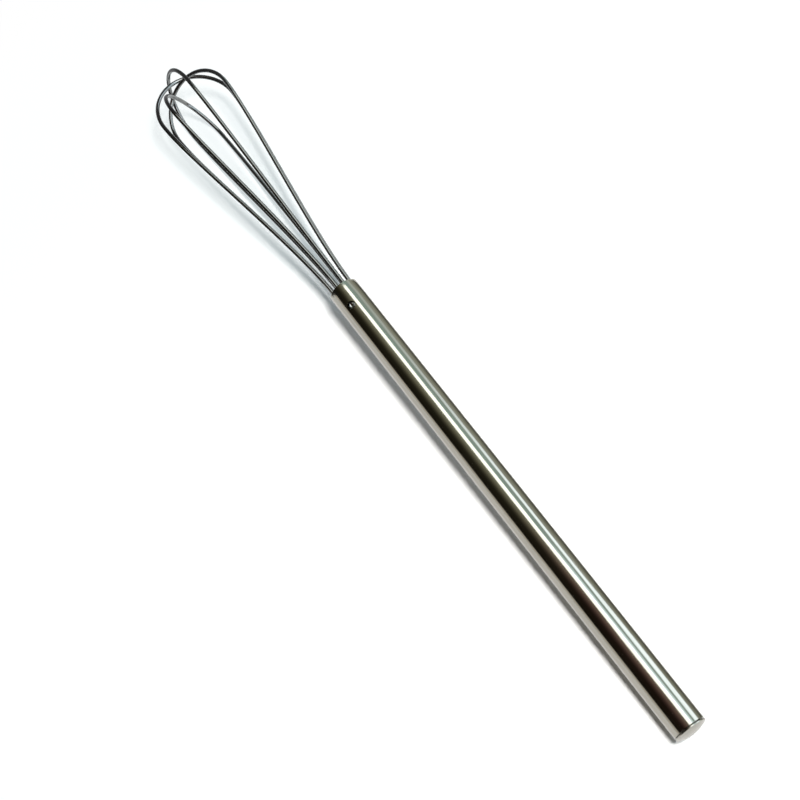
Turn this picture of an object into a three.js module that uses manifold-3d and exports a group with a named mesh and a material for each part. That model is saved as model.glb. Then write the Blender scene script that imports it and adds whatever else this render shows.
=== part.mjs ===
import * as THREE from 'three';
import { mergeVertices } from 'three/addons/utils/BufferGeometryUtils.js';
import Module from 'manifold-3d';

// A wire whisk lying at rest, sizes in millimetres and angles in degrees.
// It is modelled upright with the foot of the handle tube at height zero and laid down at the end.

// Fits: the play left between two pieces that touch on the real whisk
const fitGap = 0.3;

// Handle tube
const tubeDiameter = 11;
const tubeWall = 0.7;
const tubeLength = 189;
const tubeEdgeBreak = 0.15;

// Domed cap in the foot of the tube
const capRimHeight = 0.4;
const capDomeHeight = 1.2;
const capSpigotLength = 9;
const capSpigotBreak = 0.6;

// Wire loops: every loop is one wire with two legs in the handle
const wireDiameter = 1.5;
const legRingRadius = 3.75;
const legDepth = 6.2;
const loopHalfWidth = 14.8;
const loopCapHeight = 16;
const armStartPull = 25;
const armEndPull = 18.5;

// Loops from the outermost to the innermost. The bearing is the side that the loop faces, the tip
// height is measured from the mouth of the tube and the lean is the sideways drift per 100 mm.
const outerLoop = { name: 'wire_loop_1', bearing: 23, tipHeight: 117.9, lean: 2.9 };
const secondLoop = { name: 'wire_loop_2', bearing: 106.5, tipHeight: 115.7, lean: 0.9 };
const thirdLoop = { name: 'wire_loop_3', bearing: 68.5, tipHeight: 113.8, lean: 0.2 };
const innerLoop = { name: 'wire_loop_4', bearing: -17.5, tipHeight: 109.6, lean: 4.4 };
const loops = [outerLoop, secondLoop, thirdLoop, innerLoop];

// Core that holds the legs of the loops in the mouth
const coreRecess = 1;
const coreLength = 15;
const coreEdgeBreak = 0.5;

// Pin that crosses the tube and the core below the legs, with a shallow cup in both ends
const pinDiameter = 2.4;
const pinBearing = -12.2;
const pinDepth = 9.3;
const pinRecess = 0.5;
const pinEdgeBreak = 0.25;
const pinLand = 0.1;
const pinCupDepth = 0.35;

// Fineness of the facets
const roundSegments = 64;
const smallRoundSegments = 32;
const wireQuarterSegments = 3;
const wireSteps = 92;
const domeSteps = 8;
const cupSteps = 5;

const tubeRadius = tubeDiameter / 2;
const boreRadius = tubeRadius - tubeWall;
const wireRadius = wireDiameter / 2;
const socketRadius = wireRadius + fitGap;
const coreTop = tubeLength - coreRecess;
const pinHeight = tubeLength - pinDepth;
const capRimFoot = -fitGap - capRimHeight;

const wasm = await Module();
wasm.setup();

// Weld a closed geometry into one solid for cutting.
function solidFrom(geometry) {
  const bare = geometry.clone();
  bare.deleteAttribute('normal');
  bare.deleteAttribute('uv');
  const welded = mergeVertices(bare, 1e-4);
  const corners = [];
  for (let i = 0; i < welded.index.count; i += 3) {
    const [a, b, c] = [0, 1, 2].map((k) => welded.index.getX(i + k));
    if (a !== b && b !== c && c !== a) corners.push(a, b, c);
  }
  return new wasm.Manifold(new wasm.Mesh({
    numProp: 3,
    vertProperties: new Float32Array(welded.attributes.position.array),
    triVerts: new Uint32Array(corners),
  }));
}

function geometryFrom(solid) {
  const mesh = solid.getMesh();
  const geometry = new THREE.BufferGeometry();
  geometry.setAttribute('position', new THREE.BufferAttribute(mesh.vertProperties, 3));
  geometry.setIndex(new THREE.BufferAttribute(mesh.triVerts, 1));
  return geometry;
}

// Turn a profile of [radius, height] points about the upright axis.
function turned(profile, segments) {
  const outline = profile.map(([radius, height]) => new THREE.Vector2(radius, height));
  return new THREE.LatheGeometry(outline, segments).rotateX(Math.PI / 2);
}

function bearingVector(bearing) {
  const angle = THREE.MathUtils.degToRad(bearing);
  return new THREE.Vector3(Math.cos(angle), Math.sin(angle), 0);
}

// Round bar through the tube axis at the height and bearing of the cross pin
function crossBar(profile) {
  const bar = turned(profile, smallRoundSegments).rotateY(Math.PI / 2);
  return bar.rotateZ(THREE.MathUtils.degToRad(pinBearing)).translate(0, 0, pinHeight);
}

function pinBore() {
  const radius = pinDiameter / 2 + fitGap;
  const reach = tubeDiameter;
  return solidFrom(crossBar([[0, -reach], [radius, -reach], [radius, reach], [0, reach]]));
}

// Tube with broken edges, open at both ends, drilled for the pin
function handleTube() {
  const ring = [
    [boreRadius, tubeEdgeBreak],
    [boreRadius + tubeEdgeBreak, 0],
    [tubeRadius - tubeEdgeBreak, 0],
    [tubeRadius, tubeEdgeBreak],
    [tubeRadius, tubeLength - tubeEdgeBreak],
    [tubeRadius - tubeEdgeBreak, tubeLength],
    [boreRadius + tubeEdgeBreak, tubeLength],
    [boreRadius, tubeLength - tubeEdgeBreak],
    [boreRadius, tubeEdgeBreak],
  ];
  return solidFrom(turned(ring, roundSegments)).subtract(pinBore());
}

// Cap with a low round dome, a rim as wide as the tube and a spigot inside the bore
function endCap() {
  const domeSphere = (tubeRadius ** 2 + capDomeHeight ** 2) / (2 * capDomeHeight);
  const domeTop = capRimFoot - capDomeHeight;
  const domeSweep = Math.asin(tubeRadius / domeSphere);
  const profile = [];
  for (let i = 0; i <= domeSteps; i += 1) {
    const angle = (domeSweep * i) / domeSteps;
    profile.push([domeSphere * Math.sin(angle), domeTop + domeSphere * (1 - Math.cos(angle))]);
  }
  const spigotRadius = boreRadius - fitGap;
  profile[0][0] = 0;
  profile.push([tubeRadius, -fitGap]);
  profile.push([spigotRadius, -fitGap]);
  profile.push([spigotRadius, capSpigotLength - capSpigotBreak]);
  profile.push([spigotRadius - capSpigotBreak, capSpigotLength]);
  profile.push([0, capSpigotLength]);
  return solidFrom(turned(profile, roundSegments));
}

// Point of a loop: across is the distance from the handle axis, up is the height above the mouth.
function loopPoint(loop, across, up, leaning) {
  const point = bearingVector(loop.bearing).multiplyScalar(across);
  point.y -= leaning ? (loop.lean * up) / 100 : 0;
  point.z = tubeLength + up;
  return point;
}

// Control points that make one quarter of an ellipse sit this far along its sides.
const quarterPull = (4 / 3) * (Math.SQRT2 - 1);

// Half of a loop from the end of its leg to its tip: straight leg, flared arm, quarter ellipse
function halfLoop(loop, side) {
  const shoulderHeight = loop.tipHeight - loopCapHeight;
  const leg = side * legRingRadius;
  const wide = side * loopHalfWidth;
  const foot = loopPoint(loop, leg, -legDepth, false);
  const mouth = loopPoint(loop, leg, 0, false);
  const shoulder = loopPoint(loop, wide, shoulderHeight, true);
  const tip = loopPoint(loop, 0, loop.tipHeight, true);
  return [
    [foot, mouth],
    [
      mouth,
      loopPoint(loop, leg, armStartPull, false),
      loopPoint(loop, wide, shoulderHeight - armEndPull, true),
      shoulder,
    ],
    [
      shoulder,
      loopPoint(loop, wide, shoulderHeight + quarterPull * loopCapHeight, true),
      loopPoint(loop, quarterPull * wide, loop.tipHeight, true),
      tip,
    ],
  ];
}

function loopPath(loop) {
  const rising = halfLoop(loop, 1);
  const falling = halfLoop(loop, -1).reverse().map((points) => points.slice().reverse());
  const path = new THREE.CurvePath();
  for (const points of [...rising, ...falling]) {
    path.add(points.length === 2 ? new THREE.LineCurve3(...points) : new THREE.CubicBezierCurve3(...points));
  }
  return path;
}

function wireLoop(loop) {
  const section = new THREE.Shape().absarc(0, 0, wireRadius, 0, 2 * Math.PI, false);
  return solidFrom(new THREE.ExtrudeGeometry(section, {
    steps: wireSteps,
    curveSegments: 2 * wireQuarterSegments,
    extrudePath: loopPath(loop),
  }));
}

// Blind slot for one leg, round at the bottom and open to the outside of the core
function legSlot(bearing) {
  const outline = new THREE.Shape();
  outline.absarc(legRingRadius, 0, socketRadius, Math.PI / 2, (3 * Math.PI) / 2, false);
  outline.lineTo(tubeRadius, -socketRadius);
  outline.lineTo(tubeRadius, socketRadius);
  const depth = legDepth + fitGap;
  const slot = new THREE.ExtrudeGeometry(outline, { depth: depth, bevelEnabled: false, curveSegments: 12 });
  return solidFrom(slot.rotateZ(THREE.MathUtils.degToRad(bearing)).translate(0, 0, tubeLength - depth));
}

// Core with one slot for each leg and a cross bore for the pin
function wireHolder() {
  const radius = boreRadius - fitGap;
  const foot = coreTop - coreLength;
  let core = solidFrom(turned([
    [0, foot],
    [radius - coreEdgeBreak, foot],
    [radius, foot + coreEdgeBreak],
    [radius, coreTop - coreEdgeBreak],
    [radius - coreEdgeBreak, coreTop],
    [0, coreTop],
  ], roundSegments));
  for (const loop of loops) {
    core = core.subtract(legSlot(loop.bearing)).subtract(legSlot(loop.bearing + 180));
  }
  return core.subtract(pinBore());
}

// Half of the pin's outline, from the bottom of the cup to its round side
function pinEnd() {
  const radius = pinDiameter / 2;
  const reach = tubeRadius - pinRecess;
  const lip = radius - pinEdgeBreak - pinLand;
  const ball = (lip ** 2 + pinCupDepth ** 2) / (2 * pinCupDepth);
  const sweep = Math.asin(lip / ball);
  const outline = [];
  for (let i = 0; i <= cupSteps; i += 1) {
    const angle = (sweep * i) / cupSteps;
    outline.push([ball * Math.sin(angle), reach - pinCupDepth + ball * (1 - Math.cos(angle))]);
  }
  outline.push([radius - pinEdgeBreak, reach]);
  outline.push([radius, reach - pinEdgeBreak]);
  return outline;
}

function crossPin() {
  const lower = pinEnd().map(([across, along]) => [across, -along]);
  return solidFrom(crossBar([...lower, ...pinEnd().reverse()]));
}

// Underside point of a wire half: the sample that lies deepest against the up direction
function wireUnderside(loop, side, up) {
  const path = loopPath(loop);
  const half = path.getSpacedPoints(2 * wireSteps).filter((point, i) => (side > 0) === (i < wireSteps));
  const deepest = half.reduce((low, point) => (point.dot(up) < low.dot(up) ? point : low));
  return deepest.clone().addScaledVector(up, -wireRadius);
}

function capUnderside(up) {
  const across = new THREE.Vector3(up.x, up.y, 0).normalize();
  return across.multiplyScalar(-tubeRadius).setZ(capRimFoot);
}

// The whisk lies on the rim of its cap, the far arm of the outer loop and the far arm of the inner loop.
// The plane of those three contacts is found by repeating the search with a better up direction.
function layingMatrix() {
  let up = new THREE.Vector3(1, 0, 0);
  for (let turn = 0; turn < 12; turn += 1) {
    const heel = capUnderside(up);
    const first = wireUnderside(outerLoop, -1, up).sub(heel);
    const second = wireUnderside(innerLoop, -1, up).sub(heel);
    const normal = first.cross(second).normalize();
    up = normal.dot(up) < 0 ? normal.negate() : normal;
  }
  const length = new THREE.Vector3(0, 0, 1).projectOnPlane(up).normalize();
  const width = new THREE.Vector3().crossVectors(up, length);
  return new THREE.Matrix4().makeBasis(length, width, up).invert();
}

function satinSteel(colour, roughness) {
  return new THREE.MeshStandardMaterial({ color: colour, roughness: roughness, metalness: 1 });
}

const group = new THREE.Group();
group.name = 'whisk';

function addPiece(name, solid, material) {
  const mesh = new THREE.Mesh(geometryFrom(solid), material);
  mesh.name = name;
  group.add(mesh);
}

addPiece('handle_tube', handleTube(), satinSteel(0xb9bab4, 0.28));
addPiece('end_cap', endCap(), satinSteel(0xc2c1b8, 0.34));
addPiece('wire_holder', wireHolder(), satinSteel(0x9a9b98, 0.45));
addPiece('cross_pin', crossPin(), satinSteel(0xa9aaa6, 0.35));
for (const loop of loops) {
  addPiece(loop.name, wireLoop(loop), satinSteel(0x8f908f, 0.3));
}

// Lay the whisk down and set the middle of its footprint on the origin.
const laying = layingMatrix();
for (const mesh of group.children) mesh.geometry.applyMatrix4(laying);
const bounds = new THREE.Box3().setFromObject(group);
const middle = bounds.getCenter(new THREE.Vector3());
for (const mesh of group.children) {
  mesh.geometry.translate(-middle.x, -middle.y, -bounds.min.z);
  mesh.geometry.computeVertexNormals();
}

export default group;
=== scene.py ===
# %% [markdown]
# # A slim wire whisk in polished steel
# This lesson dresses a whisk whose solids are already in place. The solids are faceted, which
# shows at once on polished metal, so the tube, its cap, the pin and the four wires are modelled
# again with fine round sections. They lie exactly where the solids lie.

# %% Load the frame
import math

import bmesh
import bpy
import numpy as np
from mathutils import Matrix, Quaternion, Vector
from mathutils.geometry import interpolate_bezier


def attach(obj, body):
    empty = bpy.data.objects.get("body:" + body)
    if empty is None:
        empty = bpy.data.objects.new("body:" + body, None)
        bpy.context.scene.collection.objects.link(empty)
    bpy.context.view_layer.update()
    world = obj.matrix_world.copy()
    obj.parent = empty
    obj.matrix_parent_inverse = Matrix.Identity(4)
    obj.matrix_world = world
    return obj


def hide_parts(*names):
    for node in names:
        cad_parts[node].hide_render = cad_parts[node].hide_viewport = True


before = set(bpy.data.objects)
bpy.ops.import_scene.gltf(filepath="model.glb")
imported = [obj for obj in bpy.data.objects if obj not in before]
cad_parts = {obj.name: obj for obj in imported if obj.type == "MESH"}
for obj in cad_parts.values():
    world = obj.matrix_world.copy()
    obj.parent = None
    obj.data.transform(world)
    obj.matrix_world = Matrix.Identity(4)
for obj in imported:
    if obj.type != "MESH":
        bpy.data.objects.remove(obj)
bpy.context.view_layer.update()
mm = 0.001
print("solids:", sorted(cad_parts))

# %% [markdown]
# ## The whisk's own axes
# The whisk lies at a slight slope, because its head is wider than its handle. Modelling on a slope
# is awkward, so every piece is drawn upright on simple axes and laid down at the end by one
# matrix. The matrix is measured: the long direction of the tube gives the upright axis, and the
# long direction of the pin gives the side of the handle that faces up.

# %% Measure the axes from the tube and the pin
PIN_BEARING = math.radians(-12.2)


def long_direction(node):
    """Middle and longest direction of a solid, from the spread of its points."""
    points = np.array([corner.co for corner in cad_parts[node].data.vertices], float)
    points = np.unique(points.round(7), axis=0)
    middle = (points.min(axis=0) + points.max(axis=0)) / 2
    spread = np.linalg.svd(points - points.mean(axis=0), full_matrices=False)[2][0]
    return Vector(middle), Vector(spread).normalized(), points


tube_middle, along, tube_points = long_direction("handle_tube")
along = along if along.x > 0 else -along
reach = (tube_points - np.array(tube_middle)) @ np.array(along)
tube_foot = tube_middle + along * float(reach.min())
pin_side = long_direction("cross_pin")[1]
pin_side = pin_side if pin_side.z > 0 else -pin_side
pin_side = (pin_side - along * pin_side.dot(along)).normalized()
face_up = Quaternion(along, -PIN_BEARING) @ pin_side
sideways = along.cross(face_up)
lay_down = Matrix.Translation(tube_foot) @ Matrix((face_up, sideways, along)).transposed().to_4x4()
print("slope of the handle:", round(math.degrees(math.asin(along.z)), 2), "degrees")

# %% [markdown]
# ## Turning a profile
# A tube, a cap and a pin are all turned parts. A few points drawn beside the axis and one full
# spin make each of them. The spin merges its last ring with its first, points on the axis are
# welded, and the normals are then turned outwards.

# %% Helpers for turned pieces
RING_STEPS = 128
SHARP_ANGLE = 32


def turned(profile, steps=RING_STEPS):
    """Spin a list of (radius, height) points once round the upright axis."""
    shape = bmesh.new()
    corners = [shape.verts.new((radius, 0, height)) for radius, height in profile]
    edges = [shape.edges.new(pair) for pair in zip(corners, corners[1:])]
    bmesh.ops.spin(
        shape, geom=corners + edges, cent=(0, 0, 0), axis=(0, 0, 1), dvec=(0, 0, 0),
        angle=2 * math.pi, steps=steps, use_merge=True, use_duplicate=False,
    )
    bmesh.ops.remove_doubles(shape, verts=shape.verts, dist=1e-7)
    bmesh.ops.recalc_face_normals(shape, faces=shape.faces)
    return shape


def soften(shape, width, segments, sharper_than):
    """Round every edge that turns by more than an angle in degrees."""
    limit = math.radians(sharper_than)
    edges = [edge for edge in shape.edges if edge.calc_face_angle(0) > limit]
    bmesh.ops.bevel(
        shape, geom=edges, offset=width, offset_type="OFFSET", segments=segments,
        profile=0.5, affect="EDGES", material=-1, clamp_overlap=True,
    )


def finished(shape, name, node):
    """Lay a shape down, smooth it and let it stand for a solid."""
    mesh = bpy.data.meshes.new(name)
    shape.transform(lay_down)
    shape.to_mesh(mesh)
    shape.free()
    mesh.shade_smooth()
    mesh.set_sharp_from_angle(angle=math.radians(SHARP_ANGLE))
    piece = bpy.data.objects.new(name, mesh)
    bpy.context.scene.collection.objects.link(piece)
    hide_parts(node)
    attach(piece, "root")
    print(name, "faces:", len(mesh.polygons))
    return piece


print("full turns have", RING_STEPS, "steps")

# %% [markdown]
# ## The handle tube
# The handle is a drawn tube with a thin wall. Its profile is a long, thin rectangle that closes on
# itself. The two ends are rounded where the burr is tumbled off, which gives the mouth its bright
# rim. Extra points above and below the pin keep the faces round the drilled hole short, so that
# the reflections beside it stay straight.

# %% Turn the tube
TUBE_RADIUS = 5.5 * mm
BORE_RADIUS = 4.8 * mm
TUBE_LENGTH = 189 * mm
PIN_HEIGHT = TUBE_LENGTH - 9.3 * mm
PIN_RADIUS = 1.2 * mm
PLAY = 0.3 * mm
TUBE_EDGE_ROUND = 0.16 * mm

hole_clear = 2.6 * mm
wall_heights = [0, PIN_HEIGHT - hole_clear, PIN_HEIGHT + hole_clear, TUBE_LENGTH]
outside = [(TUBE_RADIUS, height) for height in wall_heights]
inside = [(BORE_RADIUS, height) for height in reversed(wall_heights)]
tube_shape = turned(outside + inside + outside[:1])
soften(tube_shape, TUBE_EDGE_ROUND, segments=3, sharper_than=60)
print("tube profile drawn with", len(outside + inside), "points")

# %% [markdown]
# ## Drilling the hole for the pin
# The hole goes straight through both walls. A Boolean modifier with a round cutter does what the
# drill does. Its result is kept as plain mesh and the cutter is thrown away.

# %% Drill the tube
DRILL_RADIUS = PIN_RADIUS + PLAY
DRILL_LENGTH = 30 * mm

cross_turn = Matrix.Rotation(PIN_BEARING, 4, "Z") @ Matrix.Rotation(math.pi / 2, 4, "Y")
cross_place = Matrix.Translation((0, 0, PIN_HEIGHT)) @ cross_turn


def loose_object(shape, name):
    """Make an object of a shape as it stands."""
    mesh = bpy.data.meshes.new(name)
    shape.to_mesh(mesh)
    shape.free()
    item = bpy.data.objects.new(name, mesh)
    bpy.context.scene.collection.objects.link(item)
    return item


drill_shape = bmesh.new()
bmesh.ops.create_cone(
    drill_shape, cap_ends=True, segments=48, radius1=DRILL_RADIUS, radius2=DRILL_RADIUS,
    depth=DRILL_LENGTH, matrix=cross_place,
)
drill = loose_object(drill_shape, "drill")
blank = loose_object(tube_shape, "blank")
cut = blank.modifiers.new("drilled", "BOOLEAN")
cut.operation = "DIFFERENCE"
cut.solver = "EXACT"
cut.object = drill
drilled_mesh = blank.evaluated_get(bpy.context.evaluated_depsgraph_get()).to_mesh()
drilled = bmesh.new()
drilled.from_mesh(drilled_mesh)
bpy.data.objects.remove(blank)
bpy.data.objects.remove(drill)
tube = finished(drilled, "polished_tube", "handle_tube")

# %% [markdown]
# ## The domed cap
# The foot of the tube is closed by a pressed plug with a low dome. The dome is an arc of a circle,
# made by spinning one point about the centre of the dome. The rim, the seam beside the tube and
# the hidden spigot follow as a few more points. The seam stays open by a hair and reads as a dark
# line.

# %% Turn the cap
DOME_HEIGHT = 1.2 * mm
CAP_RIM_FOOT = -0.7 * mm
SPIGOT_LENGTH = 9 * mm
CAP_EDGE_ROUND = 0.12 * mm

dome_foot = CAP_RIM_FOOT - DOME_HEIGHT


def bowl(foot, width, depth, steps):
    """Points of an arc that starts on the axis at a height and rises by a depth over a width."""
    ball = (width ** 2 + depth ** 2) / (2 * depth)
    drawn = bmesh.new()
    start = drawn.verts.new((0, 0, foot))
    bmesh.ops.spin(
        drawn, geom=[start], cent=(0, 0, foot + ball), axis=(0, -1, 0), dvec=(0, 0, 0),
        angle=math.asin(width / ball), steps=steps, use_merge=False, use_duplicate=False,
    )
    points = sorted((corner.co.x, corner.co.z) for corner in drawn.verts)
    drawn.free()
    return [(0, foot)] + points[1:]


dome = bowl(dome_foot, TUBE_RADIUS, DOME_HEIGHT, steps=16)
spigot_radius = BORE_RADIUS - PLAY
cap_profile = dome + [
    (TUBE_RADIUS, -PLAY),
    (spigot_radius, -PLAY),
    (spigot_radius, SPIGOT_LENGTH),
    (0, SPIGOT_LENGTH),
]
cap_shape = turned(cap_profile)
soften(cap_shape, CAP_EDGE_ROUND, segments=3, sharper_than=30)
cap = finished(cap_shape, "domed_cap", "end_cap")
print("dome drawn with", len(dome), "points")

# %% [markdown]
# ## The pin
# A short round pin crosses the tube and locks the core that holds the wires. Its ends sit a little
# below the surface of the tube and are cupped. A cup turns the light round, so each end shows a
# bright spot on the dark side, in a dark ring. The cup is drawn as the dome was, and the pin is
# turned.

# %% Turn the pin
PIN_RECESS = 0.5 * mm
PIN_EDGE_ROUND = 0.25 * mm
CUP_RADIUS = 0.85 * mm
CUP_DEPTH = 0.35 * mm

pin_reach = TUBE_RADIUS - PIN_RECESS
cup = bowl(pin_reach - CUP_DEPTH, CUP_RADIUS, CUP_DEPTH, steps=10)
pin_end = cup + [(PIN_RADIUS, pin_reach)]
far_end = [(across, -height) for across, height in pin_end]
pin_shape = turned(far_end + pin_end[::-1], steps=48)
soften(pin_shape, PIN_EDGE_ROUND, segments=4, sharper_than=60)
bmesh.ops.transform(pin_shape, verts=pin_shape.verts, matrix=cross_place)
pin = finished(pin_shape, "locking_pin", "cross_pin")

# %% [markdown]
# ## The wire loops
# Each loop is one wire. It leaves the mouth straight, flares out to its shoulder and goes over the
# tip in half an ellipse. The path is a chain of Bezier curves, because a bent wire has no corners.
# A small circle is then pushed along it: each step extrudes the last ring, turns it by the bend of
# the wire and moves it on. Turning by the bend alone keeps the section from twisting. The loops
# are nested. The outer one goes over the others at the tip, and two of them lean a little.

# %% Draw the path of a loop
WIRE_RADIUS = 0.75 * mm
LEG_RING = 3.75 * mm
LEG_DEPTH = 6.2 * mm
LOOP_HALF_WIDTH = 14.8 * mm
LOOP_CAP = 16 * mm
ARM_START_PULL = 25 * mm
ARM_END_PULL = 18.5 * mm
QUARTER_PULL = 4 / 3 * (math.sqrt(2) - 1)
ARM_POINTS = 48
TIP_POINTS = 32


def loop_point(loop, across, height, leaning=True):
    """Point of a loop above the mouth, with its sideways lean."""
    bearing = math.radians(loop["bearing"])
    point = Vector((math.cos(bearing), math.sin(bearing), 0)) * across
    point.y -= loop["lean"] * height if leaning else 0
    point.z = TUBE_LENGTH + height
    return point


def half_path(loop, side):
    """Points of half a loop from the foot of its leg to its tip."""
    tip = loop["tip"]
    shoulder = tip - LOOP_CAP
    leg, wide = side * LEG_RING, side * LOOP_HALF_WIDTH
    arm = interpolate_bezier(
        loop_point(loop, leg, 0, False),
        loop_point(loop, leg, ARM_START_PULL, False),
        loop_point(loop, wide, shoulder - ARM_END_PULL),
        loop_point(loop, wide, shoulder),
        ARM_POINTS,
    )
    over = interpolate_bezier(
        loop_point(loop, wide, shoulder),
        loop_point(loop, wide, shoulder + QUARTER_PULL * LOOP_CAP),
        loop_point(loop, QUARTER_PULL * wide, tip),
        loop_point(loop, 0, tip),
        TIP_POINTS,
    )
    return [loop_point(loop, leg, -LEG_DEPTH, False)] + arm + over[1:]


def loop_path(loop):
    """Up one side of a loop and down the other."""
    return half_path(loop, 1) + half_path(loop, -1)[-2::-1]


print("a path has", 2 * (ARM_POINTS + TIP_POINTS) - 1, "points")

# %% Push a round section along a path
WIRE_SIDES = 20


def swept(path, radius, sides):
    """Extrude a circle along a list of points and close both ends."""
    steps = [(after - before).normalized() for before, after in zip(path, path[1:])]
    facing = [steps[0]] + [(a + b).normalized() for a, b in zip(steps, steps[1:])] + [steps[-1]]
    shape = bmesh.new()
    start = Matrix.Translation(path[0]) @ facing[0].to_track_quat("Z", "Y").to_matrix().to_4x4()
    bmesh.ops.create_circle(shape, cap_ends=False, segments=sides, radius=radius, matrix=start)
    ring = list(shape.edges)
    ends = list(ring)
    for here, there, before, after in zip(path, path[1:], facing, facing[1:]):
        grown = bmesh.ops.extrude_edge_only(shape, edges=ring)["geom"]
        corners = [part for part in grown if isinstance(part, bmesh.types.BMVert)]
        ring = [part for part in grown if isinstance(part, bmesh.types.BMEdge)]
        turn = before.rotation_difference(after).to_matrix()
        bmesh.ops.rotate(shape, verts=corners, cent=here, matrix=turn)
        bmesh.ops.translate(shape, verts=corners, vec=there - here)
    bmesh.ops.holes_fill(shape, edges=ends, sides=sides)
    bmesh.ops.holes_fill(shape, edges=ring, sides=sides)
    bmesh.ops.recalc_face_normals(shape, faces=shape.faces)
    return shape


print("section has", WIRE_SIDES, "sides")

# %% Make the four loops
LOOPS = [
    dict(node="wire_loop_1", name="outer_wire", bearing=23, tip=117.9 * mm, lean=0.029),
    dict(node="wire_loop_2", name="second_wire", bearing=106.5, tip=115.7 * mm, lean=0.009),
    dict(node="wire_loop_3", name="third_wire", bearing=68.5, tip=113.8 * mm, lean=0.002),
    dict(node="wire_loop_4", name="inner_wire", bearing=-17.5, tip=109.6 * mm, lean=0.044),
]
wires = []
for loop in LOOPS:
    wire_shape = swept(loop_path(loop), WIRE_RADIUS, WIRE_SIDES)
    wires.append(finished(wire_shape, loop["name"], loop["node"]))

# %% [markdown]
# ## Writing shader maths
# A material is a network of nodes. Written link by link it is hard to read, so one small class
# wraps a socket and lets sums be written as sums. Its method `node` adds any other node: first the
# settings, then the values or links of the sockets.


# %% A socket that takes part in sums
class Signal:
    def __init__(self, tree, socket=None):
        self.tree = tree
        self.socket = socket

    def node(self, kind, settings=None, output=0, **values):
        """Add a node, set it up, feed its sockets by name and return one of its outputs."""
        made = self.tree.nodes.new(kind)
        for key, value in (settings or {}).items():
            if key == "stops":
                while len(made.color_ramp.elements) < len(value):
                    made.color_ramp.elements.new(0.5)
                for element, (place, colour) in zip(made.color_ramp.elements, value):
                    element.position = place
                    element.color = (*colour, 1)
            else:
                setattr(made, key, value)
        for key, value in values.items():
            self.feed(made, key, value)
        return Signal(self.tree, made.outputs[output] if made.outputs else None)

    def feed(self, made, key, value):
        """Link or set a socket, named with _ for spaces or numbered with a leading i."""
        place = int(key[1:]) if key[1:].isdigit() else key.replace("_", " ")
        if isinstance(value, Signal):
            self.tree.links.new(value.socket, made.inputs[place])
        else:
            made.inputs[place].default_value = value

    def math(self, operation, first, second=0.0):
        """Add one step of arithmetic."""
        return self.node("ShaderNodeMath", {"operation": operation}, i0=first, i1=second)

    def __add__(self, other):
        return self.math("ADD", self, other)

    def __sub__(self, other):
        return self.math("SUBTRACT", self, other)

    def __rsub__(self, other):
        return self.math("SUBTRACT", other, self)

    def __mul__(self, other):
        return self.math("MULTIPLY", self, other)

    def __truediv__(self, other):
        return self.math("DIVIDE", self, other)

    __radd__ = __add__
    __rmul__ = __mul__

    def at_most(self, other):
        return self.math("MINIMUM", self, other)

    def at_least(self, other):
        return self.math("MAXIMUM", self, other)

    def blend(self, low, high):
        """Mix two colours, low where this signal is 0 and high where it is 1."""
        return self.node(
            "ShaderNodeMix", {"data_type": "RGBA"}, output=2, i0=self, i6=(*low, 1), i7=(*high, 1)
        )

    def ramp(self, low, high):
        """Rise smoothly from 0 at low to 1 at high."""
        return self.node(
            "ShaderNodeMapRange", {"interpolation_type": "SMOOTHSTEP"},
            Value=self, From_Min=low, From_Max=high,
        )


def new_material(name):
    """Material with an empty network, and a Signal to build on."""
    material = bpy.data.materials.new(name)
    material.use_nodes = True
    material.node_tree.nodes.clear()
    return material, Signal(material.node_tree)


print("operators ready")

# %% [markdown]
# ## Polished steel
# Drawn tube and wire are polished along their length, so the finish shows fine lines that run with
# the metal. Noise that is stretched along the handle gives those lines. They change the roughness
# and the height a little, and a slower cloud of noise adds the faint stains of handling. The
# pattern is read from Object coordinates and turned with the slope of the handle, so it follows
# the metal.

# %% A steel finish
LINE_STRETCH = 50
CLOUD_SCALE = 60
slope = math.asin(along.z)


def steel(name, dark, light, roughness, line_size, line_height, smudge):
    """Polished steel with lines along the handle and faint smudges."""
    material, tree = new_material(name)
    place = tree.node("ShaderNodeTexCoord", output="Object")
    level = tree.node("ShaderNodeMapping", Vector=place, Rotation=(0, slope, 0))
    across = 1 / line_size
    fine = tree.node(
        "ShaderNodeMapping", Vector=level, Scale=(across / LINE_STRETCH, across, across)
    )
    lines = tree.node("ShaderNodeTexNoise", Vector=fine, Scale=1, Detail=3, Roughness=0.6)
    cloud = tree.node(
        "ShaderNodeTexNoise", Vector=level, Scale=CLOUD_SCALE, Detail=4, Roughness=0.55
    )
    smudges = cloud.ramp(0.48, 0.7)
    tone = (lines * 0.6 + cloud * 0.4).ramp(0.3, 0.7)
    polish = roughness + (lines - 0.5) * 0.06 + smudges * smudge
    bump = tree.node("ShaderNodeBump", Strength=1.0, Distance=line_height, Height=lines)
    surface = tree.node(
        "ShaderNodeBsdfPrincipled", Base_Color=tone.blend(dark, light), Metallic=1.0,
        Roughness=polish.at_least(0.04), Normal=bump,
    )
    tree.node("ShaderNodeOutputMaterial", Surface=surface)
    return material


def dress(piece, material):
    """Give a piece one material."""
    piece.data.materials.clear()
    piece.data.materials.append(material)


print("lines run", LINE_STRETCH, "times longer than they are wide")

# %% [markdown]
# ## Dressing the pieces
# All five finishes come from the one recipe. The tube is polished best and has a warm tone. The
# cap is satin. The wires are darker, and their lines are broad, because fine lines would cross a
# thin wire as dots. The core in the mouth is left as machined. It keeps its own solid, because its
# slots are hardly seen.

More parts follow.
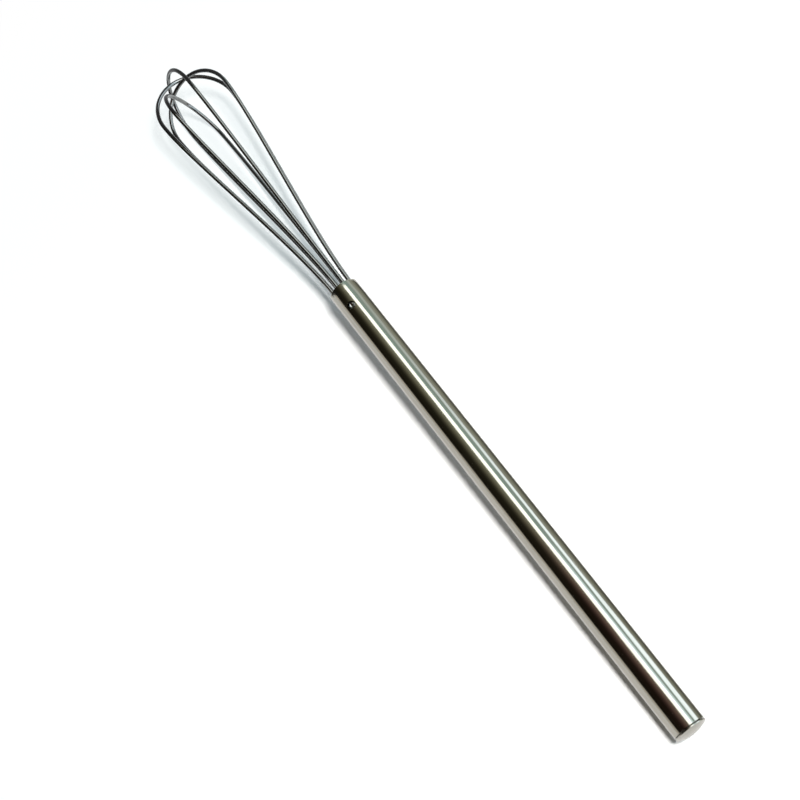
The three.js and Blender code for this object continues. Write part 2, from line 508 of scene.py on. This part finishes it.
# %% Make the finishes and dress the pieces
tube_steel = steel(
    "tube_steel", dark=(0.36, 0.343, 0.3), light=(0.41, 0.39, 0.342),
    roughness=0.11, line_size=0.25 * mm, line_height=0.004 * mm, smudge=0.05,
)
cap_steel = steel(
    "cap_steel", dark=(0.36, 0.345, 0.305), light=(0.44, 0.42, 0.375),
    roughness=0.24, line_size=0.5 * mm, line_height=0.006 * mm, smudge=0.06,
)
pin_steel = steel(
    "pin_steel", dark=(0.28, 0.28, 0.27), light=(0.35, 0.35, 0.34),
    roughness=0.14, line_size=0.3 * mm, line_height=0.003 * mm, smudge=0.05,
)
wire_steel = steel(
    "wire_steel", dark=(0.19, 0.19, 0.19), light=(0.245, 0.245, 0.24),
    roughness=0.07, line_size=1.2 * mm, line_height=0.003 * mm, smudge=0.04,
)
core_steel = steel(
    "core_steel", dark=(0.36, 0.36, 0.35), light=(0.46, 0.46, 0.45),
    roughness=0.42, line_size=0.4 * mm, line_height=0.01 * mm, smudge=0.05,
)
dress(tube, tube_steel)
dress(cap, cap_steel)
dress(pin, pin_steel)
for wire in wires:
    dress(wire, wire_steel)
dress(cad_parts["wire_holder"], core_steel)
print("finishes:", [material.name for material in bpy.data.materials if material.users])

# %% [markdown]
# ## The floor
# The whisk lies on a plain white sheet. A lit white sheet renders a little grey, so the camera,
# and any reflection or glass, also sees a faint glow from it. The glow is weak near the grip, so
# the shadow stays dark there. Further off the glow is cool, which paints a blue tint into the
# shadow of the head. Away from the grip the sheet slowly turns fully white, which paints that
# shadow paler and leaves no visible edge. Reflections see mostly the plain white, as they would
# of a bright table.

# %% Lay the floor
FLOOR_HALF_SIZE = 4

floor_shape = bmesh.new()
bmesh.ops.create_grid(floor_shape, x_segments=1, y_segments=1, size=FLOOR_HALF_SIZE)
floor = loose_object(floor_shape, "floor")
print("floor at height", floor.location.z)

# %% Make the sheet white where it is seen
GRIP_X = -0.06
NEAR_GLOW = (0.027, 0.029, 0.03)
COOL_SHADOW_GLOW = (0.02, 0.2, 0.23)
PLAIN_IN_REFLECTIONS = 0.6

floor_white, tree = new_material("floor_white")
seen = tree.node("ShaderNodeLightPath", output="Is Camera Ray")
mirrored = tree.node("ShaderNodeLightPath", output="Is Glossy Ray")
through = tree.node("ShaderNodeLightPath", output="Is Transmission Ray")
shown = (seen + mirrored + through).at_most(1)
spot = tree.node("ShaderNodeTexCoord", output="Object")
from_grip = tree.node("ShaderNodeMapping", Vector=spot, Location=(-GRIP_X, 0, 0))
distance = tree.node(
    "ShaderNodeVectorMath", {"operation": "LENGTH"}, output="Value", i0=from_grip
)
# Painted light: away from the grip the sheet is mixed towards plain white, which paints the shadow
# of the head paler.
far = distance.ramp(0.085, 0.15) * 0.46 + distance.ramp(0.13, 0.31) * 0.54
sheet = tree.node("ShaderNodeBsdfDiffuse", Color=(0.93, 0.93, 0.93, 1))
# Painted shade tint: the cool glow far from the grip colours the shadow of the head blue; on the
# lit sheet it is lost in the white.
glow = tree.node("ShaderNodeEmission", Color=far.blend(NEAR_GLOW, COOL_SHADOW_GLOW), Strength=shown)
near_look = tree.node("ShaderNodeAddShader", i0=sheet, i1=glow)
far_look = tree.node("ShaderNodeEmission", Color=(1, 1, 1, 1), Strength=shown)
plain = (far * shown).at_least(mirrored * PLAIN_IN_REFLECTIONS)
look = tree.node("ShaderNodeMixShader", i0=plain, i1=near_look, i2=far_look)
tree.node("ShaderNodeOutputMaterial", Surface=look)
dress(floor, floor_white)
print("the sheet whitens with distance from x =", GRIP_X, "m")

# %% [markdown]
# ## The room
# Polished metal shows its surroundings, so the look of the handle is made by what stands round it.
# The room is painted on the world as a ramp that turns round the handle: pale green on the right,
# dim overhead, black on the left and bright again at the foot of the left wall. The black part
# draws the dark band along the tube. Overhead the room is brown behind the handle and olive ahead
# of it, so two ramps are mixed by how far forward a reflection looks.

# %% Find the heading in the room
world = bpy.data.worlds.new("room")
bpy.context.scene.world = world
world.use_nodes = True
world.node_tree.nodes.clear()
tree = Signal(world.node_tree)
heading = tree.node("ShaderNodeTexCoord", output="Generated")
forward = tree.node("ShaderNodeSeparateXYZ", output="X", Vector=heading)
left = tree.node("ShaderNodeSeparateXYZ", output="Y", Vector=heading)
lift = tree.node("ShaderNodeSeparateXYZ", output="Z", Vector=heading)
turn = tree.math("ARCTAN2", left, lift) * (1 / math.pi) + 0.5


def at(degrees):
    """Place on the turn of the room for an angle from straight up, left positive."""
    return degrees / 180 + 0.5


print("straight up is at", at(0), "of the turn")

# %% Paint the walls
RIGHT_WALL = [
    (at(-90), (0.52, 0.54, 0.47)),
    (at(-70), (0.62, 0.67, 0.6)),
    (at(-30), (0.47, 0.69, 0.67)),
]
LEFT_WALL = [
    (at(75), (0.014, 0.011, 0.0065)),
    (at(79), (0.75, 0.72, 0.65)),
    (at(90), (0.9, 0.87, 0.8)),
]
BROWN_OVERHEAD = [
    (at(0), (0.28, 0.2, 0.165)),
    (at(14), (0.144, 0.088, 0.072)),
    (at(24), (0.065, 0.038, 0.031)),
    (at(36), (0.025, 0.015, 0.011)),
]
OLIVE_OVERHEAD = [
    (at(0), (0.35, 0.35, 0.265)),
    (at(14), (0.184, 0.178, 0.12)),
    (at(24), (0.083, 0.078, 0.052)),
    (at(36), (0.03, 0.028, 0.017)),
]
behind, ahead = [
    tree.node(
        "ShaderNodeValToRGB", {"stops": RIGHT_WALL + overhead + LEFT_WALL}, Fac=turn
    )
    for overhead in (BROWN_OVERHEAD, OLIVE_OVERHEAD)
]
paint = tree.node(
    "ShaderNodeMix", {"data_type": "RGBA"}, output=2,
    i0=forward.ramp(0.02, 0.16), i6=behind, i7=ahead,
)
print("walls painted with", len(RIGHT_WALL + BROWN_OVERHEAD + LEFT_WALL), "stops")

# %% [markdown]
# ## The window
# A low window on the right draws the thin stripe beside the white one. It is widest and brightest
# as seen from the end of the handle and fades towards the head. A narrow glow above it is seen
# from the end alone. The room is there for reflections, so the light that it scatters on the floor
# is turned down. The camera sees plain white in its place.

# %% Open the window and close the room
WINDOW_TINT = (0.74, 0.86, 1, 1)
SCATTER_CUT = 0.75

near_end = forward.ramp(0.12, 0.06)
sill = at(-76) - near_end * 10 / 180
low_window = turn.ramp(sill, sill + 5 / 180) * turn.ramp(at(-53), at(-58))
side_glow = turn.ramp(at(-43), at(-38)) * turn.ramp(at(-22), at(-27))
window_light = low_window * (forward.ramp(0.46, 0.15) * 2 + 0.31) + side_glow * near_end * 1.4
scattered = tree.node("ShaderNodeLightPath", output="Is Diffuse Ray")
dimmed = 1 - scattered * SCATTER_CUT
window = tree.node("ShaderNodeBackground", Color=WINDOW_TINT, Strength=window_light * dimmed)
walls = tree.node("ShaderNodeBackground", Color=paint, Strength=dimmed)
surroundings = tree.node("ShaderNodeAddShader", i0=walls, i1=window)
seen = tree.node("ShaderNodeLightPath", output="Is Camera Ray")
through = tree.node("ShaderNodeLightPath", output="Is Transmission Ray")
paper = tree.node("ShaderNodeBackground", Color=(1, 1, 1, 1), Strength=1.0)
backdrop = tree.node(
    "ShaderNodeMixShader", i0=(seen + through).at_most(1), i1=surroundings, i2=paper
)
tree.node("ShaderNodeOutputWorld", Surface=backdrop)
print("room closed with", len(world.node_tree.nodes), "nodes")

# %% [markdown]
# ## The lamps
# Two soft boxes hang overhead. A long one, a little to the right, is seen only in reflections and
# draws the white stripe along the tube. A small one lights only what is not metal, which is the
# floor, and draws the shadow on the left of the handle.


# %% Hang the soft boxes
def aimed(place, target, across):
    """Matrix that puts a lamp or card at a place, facing a target, its width along a direction."""
    back = (Vector(place) - Vector(target)).normalized()
    wide = (Vector(across) - back * back.dot(Vector(across))).normalized()
    facing = Matrix((wide, back.cross(wide), back)).transposed().to_4x4()
    return Matrix.Translation(place) @ facing


def soft_box(name, place, target, length, width, radiance, mirrored):
    """Area lamp that shows in reflections or lights the floor, but not both."""
    lamp = bpy.data.lights.new(name, "AREA")
    lamp.shape = "RECTANGLE"
    lamp.size = length
    lamp.size_y = width
    lamp.energy = radiance * math.pi * length * width
    lamp.color = (1, 0.99, 0.97)
    item = bpy.data.objects.new(name, lamp)
    item.matrix_world = aimed(place, target, (1, 0, 0))
    item.visible_glossy = mirrored
    item.visible_diffuse = not mirrored
    bpy.context.scene.collection.objects.link(item)
    print(name, "gives", round(lamp.energy, 2), "W")


soft_box(
    "stripe_box", place=(-0.17, -0.318, 0.948), target=(-0.17, 0, 0),
    length=2.0, width=0.36, radiance=2.8, mirrored=True,
)
soft_box(
    "shadow_box", place=(-0.32, -0.195, 0.955), target=(0.02, 0, 0),
    length=0.3, width=0.2, radiance=64.0, mirrored=False,
)

# %% [markdown]
# ## The cards
# Polished metal on a white table melts into it at the edges, so three cards stand close to the
# whisk. Only reflections see them. A grey one on the right of the tube, darker at its foot, keeps
# the right edge of the handle in sight. A dark one on the left of the head draws the dark line
# along each wire. One just ahead of the tip, darker at its top, does the same for the bends.


# %% Stand the cards
def card(name, middle, facing, length, height, stops, across=(0, 0, 1)):
    """Card for reflections, placed in mm on the whisk's axes, long in one direction."""
    shape = bmesh.new()
    shape.loops.layers.uv.new("card_map")
    bmesh.ops.create_grid(shape, x_segments=1, y_segments=1, size=0.5, calc_uvs=True)
    bmesh.ops.scale(shape, verts=shape.verts, vec=(length * mm, height * mm, 1))
    stand = aimed(Vector(middle) * mm, Vector(facing) * mm, across)
    bmesh.ops.transform(shape, verts=shape.verts, matrix=lay_down @ stand)
    item = loose_object(shape, name)
    material, tree = new_material(name + "_tone")
    flat = tree.node("ShaderNodeTexCoord", output="UV")
    rise = tree.node("ShaderNodeSeparateXYZ", output="Y", Vector=flat)
    shade = tree.node("ShaderNodeValToRGB", {"stops": stops}, Fac=rise)
    # The card glows with these shades, which paint the dark and grey reflections on the metal.
    card_glow = tree.node("ShaderNodeEmission", Color=shade, Strength=1.0)
    tree.node("ShaderNodeOutputMaterial", Surface=card_glow)
    dress(item, material)
    item.visible_camera = False
    item.visible_shadow = False
    item.visible_diffuse = False
    print(name, "measures", length, "by", height, "mm")


card("edge_card", middle=(-2, 12, 94.5), facing=(-2, 0, 94.5), length=200, height=12, stops=[
    (0.0, (0.05, 0.05, 0.04)),
    (0.3, (0.11, 0.11, 0.09)),
    (0.5, (0.2, 0.2, 0.165)),
    (0.76, (0.4, 0.41, 0.34)),
    (1.0, (0.58, 0.62, 0.54)),
])
card("head_card", middle=(6, -30, 262.5), facing=(6, 0, 262.5), length=110, height=38, stops=[
    (0.0, (0.02, 0.02, 0.017)),
    (1.0, (0.02, 0.02, 0.017)),
])
card("tip_card", middle=(21, 0, 315), facing=(21, 0, 300), length=70, height=74, stops=[
    (0.0, (0.06, 0.06, 0.06)),
    (0.55, (0.11, 0.11, 0.11)),
    (0.75, (0.33, 0.33, 0.34)),
    (1.0, (0.46, 0.46, 0.47)),
], across=(0, 1, 0))

# %% [markdown]
# ## Camera
# The picture is taken from behind and above the end of the handle, so the handle looks thicker
# than it would from far away and the head runs off into the distance. The camera is set on the
# whisk's own axes: straight above the side that faces up, a little behind the foot of the tube.
# Its focal length is given in pixels of the picture, which is how it was measured.

# %% Place the camera
SENSOR_WIDTH = 36
FOCAL_PIXELS = 1500
PICTURE_PIXELS = 800

seat = Vector((460.57, 0, -64.19)) * mm
aim = Vector((22.75, -7.68, 132.43)) * mm
upright = Vector((0.31264, 0.61912, 0.72038))

back = (seat - aim).normalized()
right = upright.cross(back).normalized()
axes = Matrix((right, back.cross(right), back)).transposed().to_4x4()
lens = bpy.data.cameras.new("camera")
lens.sensor_width = SENSOR_WIDTH
lens.lens = SENSOR_WIDTH * FOCAL_PIXELS / PICTURE_PIXELS
lens.clip_start = 0.01
camera = bpy.data.objects.new("camera", lens)
bpy.context.scene.collection.objects.link(camera)
camera.matrix_world = lay_down @ Matrix.Translation(seat) @ axes
bpy.context.scene.camera = camera
bpy.context.scene.view_settings.view_transform = "Standard"
print("camera stands at", [round(value, 3) for value in camera.matrix_world.translation])
